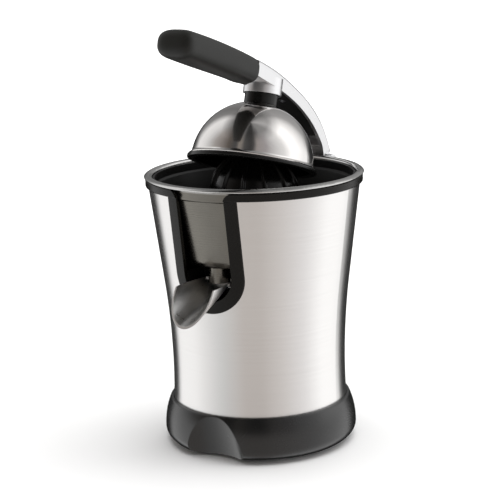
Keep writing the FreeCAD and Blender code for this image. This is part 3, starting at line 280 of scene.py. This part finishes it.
# ---------------------------------------------------------------- pieces built here
def add_mesh(name, verts, faces, mat, smooth=38.0):
    """New mesh object from points in metres, smooth shaded apart from corners sharper than the angle."""
    me = bpy.data.meshes.new(name)
    me.from_pydata([tuple(v) for v in verts], [], faces)
    me.update()
    bm = bmesh.new()
    bm.from_mesh(me)
    bmesh.ops.remove_doubles(bm, verts=bm.verts, dist=1e-6)
    bmesh.ops.dissolve_degenerate(bm, edges=bm.edges, dist=1e-7)
    bmesh.ops.recalc_face_normals(bm, faces=bm.faces)
    for f in bm.faces:
        f.smooth = True
    for e in bm.edges:
        if len(e.link_faces) == 2 and e.calc_face_angle() > math.radians(smooth):
            e.smooth = False
    bm.to_mesh(me)
    bm.free()
    ob = bpy.data.objects.new(name, me)
    scene.collection.objects.link(ob)
    paint(ob, mat)
    return ob


def grid_faces(rows, cols, wrap=True):
    out = []
    for i in range(rows - 1):
        for j in range(cols if wrap else cols - 1):
            k = (j + 1) % cols
            out.append((i * cols + j, i * cols + k, (i + 1) * cols + k, (i + 1) * cols + j))
    return out


def stand_in(ob, node, body):
    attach(ob, body)
    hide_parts(node)
    return ob


def ease(x):
    x = np.clip(x, 0.0, 1.0)
    return x * x * (3.0 - 2.0 * x)


def resample(points, count):
    """Evenly spaced points along a polyline, lightly rounded at its corners."""
    p = np.array(points, float)
    for _ in range(2):
        q = [p[0]]
        for a, b in zip(p[:-1], p[1:]):
            q += [a * 0.78 + b * 0.22, a * 0.22 + b * 0.78]
        q.append(p[-1])
        p = np.array(q)
    d = np.concatenate([[0.0], np.cumsum(np.linalg.norm(np.diff(p, axis=0), axis=1))])
    s = np.linspace(0.0, d[-1], count)
    return np.stack([np.interp(s, d, p[:, 0]), np.interp(s, d, p[:, 1])], 1)


def reamer():
    """Cone with rounded ribs that run up to the crown, and a rolled skirt."""
    core = resample([(36.6, 208.6), (36.1, 216.0), (35.0, 221.5), (33.1, 226.6), (30.3, 231.4), (26.3, 236.0), (20.9, 240.2), (14.7, 243.2), (8.0, 245.2), (3.0, 246.0), (0.05, 246.2)], 44)
    crest = resample([(38.5, 208.2), (38.4, 216.5), (37.4, 222.6), (35.4, 228.0), (32.4, 233.2), (28.1, 238.0), (22.5, 242.4), (16.0, 245.4), (10.5, 246.5), (5.0, 246.4), (0.05, 246.2)], 44)
    gaps = np.array([0.0, 0.45, 0.85, 1.15, 1.45, 1.75, 2.1, 2.6, 3.3, 4.4, 6.0, 7.9, 9.8]) / 38.0
    gaps[-1] = math.pi / 12
    one = np.concatenate([-gaps[::-1][:-1], gaps[:-1]])
    one = np.unique(np.round(one, 9))
    phis = np.concatenate([math.radians(15 + 30 * k) + one for k in range(12)])
    off = np.concatenate([one for k in range(12)])
    cols = len(phis)
    rows = []
    skirt = [(37.4, 205.0), (39.0, 205.0), (39.4, 205.5), (39.3, 206.4), (38.2, 207.6), (37.2, 208.2)]
    for r, z in skirt:
        rows.append([(r * math.cos(a), r * math.sin(a), z) for a in phis])
    for (r0, z0), (r1, z1) in zip(core, crest):
        row = []
        for a, o in zip(phis, off):
            d = abs(r1 * math.sin(o))
            w = float(ease((2.15 - d) / 1.7))
            r, z = r0 + (r1 - r0) * w, z0 + (z1 - z0) * w
            row.append((r * math.cos(a), r * math.sin(a), z))
        rows.append(row)
    inner = [(37.4, 205.0), (36.2, 205.6), (34.2, 209.0), (33.6, 216.6), (31.2, 224.6), (27.0, 231.4), (19.0, 237.8), (9.4, 241.4), (9.4, 208.0), (5.0, 208.0), (5.0, 226.6)]
    verts = [v for row in rows for v in row]
    faces = grid_faces(len(rows), cols)
    base = len(verts)
    for r, z in inner:
        verts += [(r * math.cos(a), r * math.sin(a), z) for a in phis]
    faces += [tuple(base + i for i in reversed(f)) for f in grid_faces(len(inner), cols)]
    ob = add_mesh("reamer", np.array(verts) * MM, faces, M["black_gloss"], 50.0)
    return stand_in(ob, "press_cone", "cone_drive")


def carved(ob, *tools):
    """Takes the tools out of a closed mesh and keeps the result as its mesh."""
    for k, tool in enumerate(tools):
        m = ob.modifiers.new("carve_%d" % k, "BOOLEAN")
        m.operation = "DIFFERENCE"
        m.solver = "EXACT"
        m.object = tool
    deps = bpy.context.evaluated_depsgraph_get()
    me = bpy.data.meshes.new_from_object(ob.evaluated_get(deps))
    mat = ob.data.materials[0]
    name = ob.name
    for o in (ob, *tools):
        bpy.data.objects.remove(o)
    me.name = name
    out = bpy.data.objects.new(name, me)
    scene.collection.objects.link(out)
    bm = bmesh.new()
    bm.from_mesh(me)
    for f in bm.faces:
        f.smooth = True
    for e in bm.edges:
        e.smooth = not (len(e.link_faces) == 2 and e.calc_face_angle() > math.radians(40.0))
    bm.to_mesh(me)
    bm.free()
    paint(out, mat)
    return out


def prism(name, points, half):
    """Closed prism over a (y, z) outline, half wide each way along X."""
    n = len(points)
    verts = [(-half, y, z) for y, z in points] + [(half, y, z) for y, z in points]
    faces = [tuple(range(n)), tuple(range(2 * n - 1, n - 1, -1))]
    faces += [(i, (i + 1) % n, n + (i + 1) % n, n + i) for i in range(n)]
    return add_mesh(name, np.array(verts) * MM, faces, M["soft_black"])


def rod(name, low, high, rad, count=96):
    """Closed round bar between two points in millimetres."""
    low, high = Vector(low), Vector(high)
    w = (high - low).normalized()
    u = w.orthogonal().normalized()
    v = w.cross(u)
    ring = [(math.cos(2 * math.pi * k / count), math.sin(2 * math.pi * k / count)) for k in range(count)]
    verts = [low + rad * (c * u + q * v) for c, q in ring] + [high + rad * (c * u + q * v) for c, q in ring]
    faces = [tuple(range(count - 1, -1, -1)), tuple(range(count, 2 * count))]
    faces += [(i, (i + 1) % count, count + (i + 1) % count, count + i) for i in range(count)]
    return add_mesh(name, np.array([tuple(q) for q in verts]) * MM, faces, M["soft_black"])


def soften(xs, points, spread):
    """Values between given (place, value) points, rounded off over a length."""
    pts = np.array(points, float)
    fine = np.linspace(pts[0, 0] - 3 * spread, pts[-1, 0] + 3 * spread, 1200)
    val = np.interp(fine, pts[:, 0], pts[:, 1])
    step = fine[1] - fine[0]
    k = int(3 * spread / step)
    win = np.exp(-0.5 * (np.arange(-k, k + 1) * step / spread) ** 2)
    val = np.convolve(np.pad(val, k, mode="edge"), win / win.sum(), mode="valid")
    return np.interp(xs, fine, val)


def handle():
    """Soft grip: full rounded section, blunt round tip, belly that runs back under the arm."""
    root, tip = np.array((-12.6, 318.6)), np.array((-117.5, 349.2))
    way = (tip - root) / np.linalg.norm(tip - root)
    nrm = np.array((-way[1], way[0])) * (1 if way[0] > 0 else -1)
    turn_ = np.linspace(0.0, math.pi / 2, 26)
    share = np.concatenate([np.linspace(-0.058, 0.868, 84), 0.873 + 0.130 * np.sin(turn_)])
    fall = np.concatenate([np.ones(84), (1.0 - np.sin(turn_) ** 3.2).clip(0, 1) ** (1 / 3.2)])
    side = np.concatenate([np.ones(84), (1.0 - np.sin(turn_) ** 4.2).clip(0, 1) ** (1 / 4.2)])
    wide = soften(share, [(-0.058, 3.0), (-0.044, 6.4), (-0.030, 9.8), (-0.016, 13.0), (-0.002, 16.0), (0.3, 16.5), (0.6, 16.6), (1.1, 16.6)], 0.006)
    tall = soften(share, [(-0.17, 10.4), (0.0, 10.9), (0.15, 11.25), (0.45, 12.0), (0.7, 12.1), (0.9, 11.65), (1.1, 11.35)], 0.07)
    off = soften(share, [(-0.17, -4.0), (0.0, -1.7), (0.15, -0.85), (0.45, -0.2), (0.7, 0.0), (1.1, 0.0)], 0.07)
    cols = 72
    verts, rows = [], len(share)
    for s_, f_, g_, w_, h_, o_ in zip(share, fall, side, wide, tall, off):
        mid = root + (tip - root) * s_ + nrm * o_
        for k in range(cols):
            a = 2 * math.pi * k / cols
            c, q = math.cos(a), math.sin(a)
            u = w_ * g_ * math.copysign(abs(c) ** 0.66, c)
            w = h_ * f_ * math.copysign(abs(q) ** 0.74, q)
            y, z = mid + nrm * w
            verts.append((u, y, z))
    faces = grid_faces(rows, cols)
    faces.append(tuple(range(cols)))
    ob = add_mesh("handle", np.array(verts) * MM, faces, M["soft_black"], 60.0)
    out = [(-11.0, 325.2), (7.3, 317.9), (23.9, 310.3), (40.7, 301.2)]
    inn = [(-14.8, 312.8), (1.5, 305.8), (17.3, 299.0), (33.2, 291.3)]
    mixp = lambda t: [(a[0] + (b[0] - a[0]) * t, a[1] + (b[1] - a[1]) * t) for a, b in zip(out, inn)]
    arm_room = prism("arm_room", mixp(-0.6) + mixp(1.03)[::-1], 24.0)
    ax = Vector((0.0, math.sin(math.radians(17.0)), math.cos(math.radians(17.0))))
    ball = Vector((0.0, 19.396, 300.285))
    boss_room = rod("boss_room", ball - 20.0 * ax, ball + 12.0 * ax, 16.55)
    ob = carved(ob, arm_room, boss_room)
    return stand_in(ob, "grip", "lever")


reamer()
handle()

# ---------------------------------------------------------------- stage
def ground():
    """A pale sheet that runs far behind the object."""
    me = bpy.data.meshes.new("floor")
    n = 24
    xs = np.linspace(-9.0, 9.0, n + 1)
    verts = [(x, y, -0.0002) for y in xs for x in xs]
    faces = [(j * (n + 1) + i, j * (n + 1) + i + 1, (j + 1) * (n + 1) + i + 1, (j + 1) * (n + 1) + i) for j in range(n) for i in range(n)]
    me.from_pydata(verts, [], faces)
    ob = bpy.data.objects.new("floor", me)
    scene.collection.objects.link(ob)
    t = Tree("floor_pale")
    t.set(Roughness=0.9)
    t.bsdf.inputs["Specular IOR Level"].default_value = 0.1
    t.color(t.ramp(t.noise(t.coord, 1.2, 2.0), [(0.3, (0.90, 0.90, 0.895)), (0.7, (0.92, 0.92, 0.92))]))
    # the sheet is lit from behind away from the object, so that it stays white into the distance
    far = t.add("ShaderNodeVectorMath", operation="LENGTH")
    t.link(t.coord, far.inputs[0])
    t.bsdf.inputs["Emission Color"].default_value = (1.0, 1.0, 1.0, 1.0)
    t.link(t.span(far.outputs["Value"], 0.0, 0.9, 0.35, 2.2), t.bsdf.inputs["Emission Strength"])
    ob.data.materials.append(t.mat)
    ob.visible_glossy = False
    return ob


ground()

world = bpy.data.worlds.new("studio")
scene.world = world
world.use_nodes = True
wt = world.node_tree
wt.nodes.clear()


def wnode(kind, **props):
    n = wt.nodes.new(kind)
    for k, v in props.items():
        setattr(n, k, v)
    return n


def wmath(op, a, b=None, clamp=False):
    n = wnode("ShaderNodeMath", operation=op, use_clamp=clamp)
    for i, v in enumerate((a, b)):
        if v is None:
            continue
        if isinstance(v, (int, float)):
            n.inputs[i].default_value = v
        else:
            wt.links.new(v, n.inputs[i])
    return n.outputs[0]


def wramp(fac, stops):
    n = wnode("ShaderNodeValToRGB")
    r = n.color_ramp
    while len(r.elements) < len(stops):
        r.elements.new(0.5)
    for e, (p, c) in zip(r.elements, stops):
        e.position = p
        e.color = (c, c, c, 1.0) if isinstance(c, (int, float)) else (*c, 1.0)
    wt.links.new(fac, n.inputs["Fac"])
    return n.outputs["Color"]


MAIN_AZ = 30.33
tc = wnode("ShaderNodeTexCoord")
sep = wnode("ShaderNodeSeparateXYZ")
wt.links.new(tc.outputs["Generated"], sep.inputs[0])
# azimuth from the front, clockwise seen from above, relative to the main view, as 0..1 with 0.5 toward the viewer
az = wmath("ARCTAN2", sep.outputs["X"], wmath("MULTIPLY", sep.outputs["Y"], -1.0))
rel = wmath("SUBTRACT", wmath("MULTIPLY", az, 1.0 / (2 * math.pi)), MAIN_AZ / 360.0)
turn = wmath("FRACT", wmath("ADD", rel, 0.5 + 1.0))
height = wmath("MULTIPLY", wmath("ARCSINE", sep.outputs["Z"]), 1.0 / math.pi)  # -0.5 .. 0.5


def at(deg):
    return deg / 360.0 + 0.5


low = wramp(turn, [
    (at(-180), 0.05), (at(-152), 0.03), (at(-141), 0.04), (at(-131), 1.25), (at(-95), 1.25), (at(-50), 0.84),
    (at(-20), (0.70, 0.655, 0.625)), (at(4), (0.70, 0.655, 0.625)), (at(30), (0.83, 0.79, 0.77)), (at(60), (1.02, 1.0, 1.0)), (at(90), 1.38),
    (at(124), 1.38), (at(135), 0.20), (at(142), 0.04), (at(154), 0.03), (at(180), 0.05)])
high = wramp(turn, [
    (at(-180), 0.30), (at(-165), 0.22), (at(-150), 0.32), (at(-134), 1.15), (at(-118), 1.05), (at(-105), 0.80), (at(-91), (0.50, 0.475, 0.455)), (at(-75), (0.33, 0.30, 0.285)),
    (at(-58), (0.15, 0.130, 0.115)), (at(-42), 0.09), (at(-36), 0.10), (at(-31), (0.32, 0.29, 0.26)), (at(-25), (0.30, 0.275, 0.25)), (at(-18), 0.10), (at(-2), 0.06), (at(6), 0.09),
    (at(13), (0.42, 0.39, 0.375)), (at(33), (0.46, 0.435, 0.44)), (at(53), 0.85), (at(70), 1.10), (at(84), 1.70), (at(104), 1.70), (at(124), 1.15), (at(140), 0.50), (at(156), 0.40), (at(180), 0.28)])
crown = wramp(turn, [
    (at(-180), 0.18), (at(-130), 0.16), (at(-100), 0.20), (at(-63), 0.05), (at(-44), 0.06), (at(-36), 0.20), (at(-26), 0.18), (at(-16), 0.05), (at(6), 0.05), (at(30), 0.32), (at(62), 0.34),
    (at(90), 0.60), (at(124), 0.42), (at(150), 0.22), (at(180), 0.18)])
up = wramp(wmath("ADD", height, 0.5), [(0.0, 0.0), (0.492, 0.0), (0.56, 1.0), (1.0, 1.0)])
top = wramp(wmath("ADD", height, 0.5), [(0.0, 0.0), (0.765, 0.0), (0.865, 1.0), (1.0, 1.0)])
mix1 = wnode("ShaderNodeMix", data_type="RGBA")
wt.links.new(up, mix1.inputs["Factor"])
wt.links.new(low, mix1.inputs[6])
wt.links.new(high, mix1.inputs[7])
mix2 = wnode("ShaderNodeMix", data_type="RGBA")
wt.links.new(top, mix2.inputs["Factor"])
wt.links.new(mix1.outputs[2], mix2.inputs[6])
wt.links.new(crown, mix2.inputs[7])
bg = wnode("ShaderNodeBackground")
wt.links.new(mix2.outputs[2], bg.inputs["Color"])
bg.inputs["Strength"].default_value = 1.0
wo = wnode("ShaderNodeOutputWorld")
wt.links.new(bg.outputs[0], wo.inputs["Surface"])


def area(name, place, aim, size, watts, shape="RECTANGLE", glossy=False):
    la = bpy.data.lights.new(name, "AREA")
    la.shape = shape
    la.size, la.size_y = size
    la.energy = watts
    ob = bpy.data.objects.new(name, la)
    scene.collection.objects.link(ob)
    ob.location = place
    ob.rotation_mode = "QUATERNION"
    ob.rotation_quaternion = (Vector(aim) - Vector(place)).to_track_quat("-Z", "Y")
    ob.visible_glossy = glossy
    return ob


area("overhead", (0.1, 0.2, 2.2), (0, 0, 0.1), (2.6, 2.6), 62.0)

# ---------------------------------------------------------------- camera
cam = bpy.data.cameras.new("camera")
cam.sensor_width = 36.0
cam.lens = 1597.32 * 36.0 / 500.0
cam_ob = bpy.data.objects.new("camera", cam)
scene.collection.objects.link(cam_ob)
eye, look = Vector((0.6653, -1.1372, 0.4599)), Vector((-0.00449, -0.00263, 0.16314))
fw = (look - eye).normalized()
right = fw.cross(Vector((0, 0, 1))).normalized()
upv = right.cross(fw)
roll = math.radians(-1.71)
r2 = math.cos(roll) * right + math.sin(roll) * upv
u2 = -math.sin(roll) * right + math.cos(roll) * upv
cam_ob.matrix_world = Matrix((
    (r2.x, u2.x, -fw.x, eye.x), (r2.y, u2.y, -fw.y, eye.y), (r2.z, u2.z, -fw.z, eye.z), (0, 0, 0, 1)))
cam.clip_start, cam.clip_end = 0.01, 60.0
scene.camera = cam_ob
scene.view_settings.view_transform = "Standard"
scene.view_settings.look = "None"
scene.view_settings.exposure = 0.0
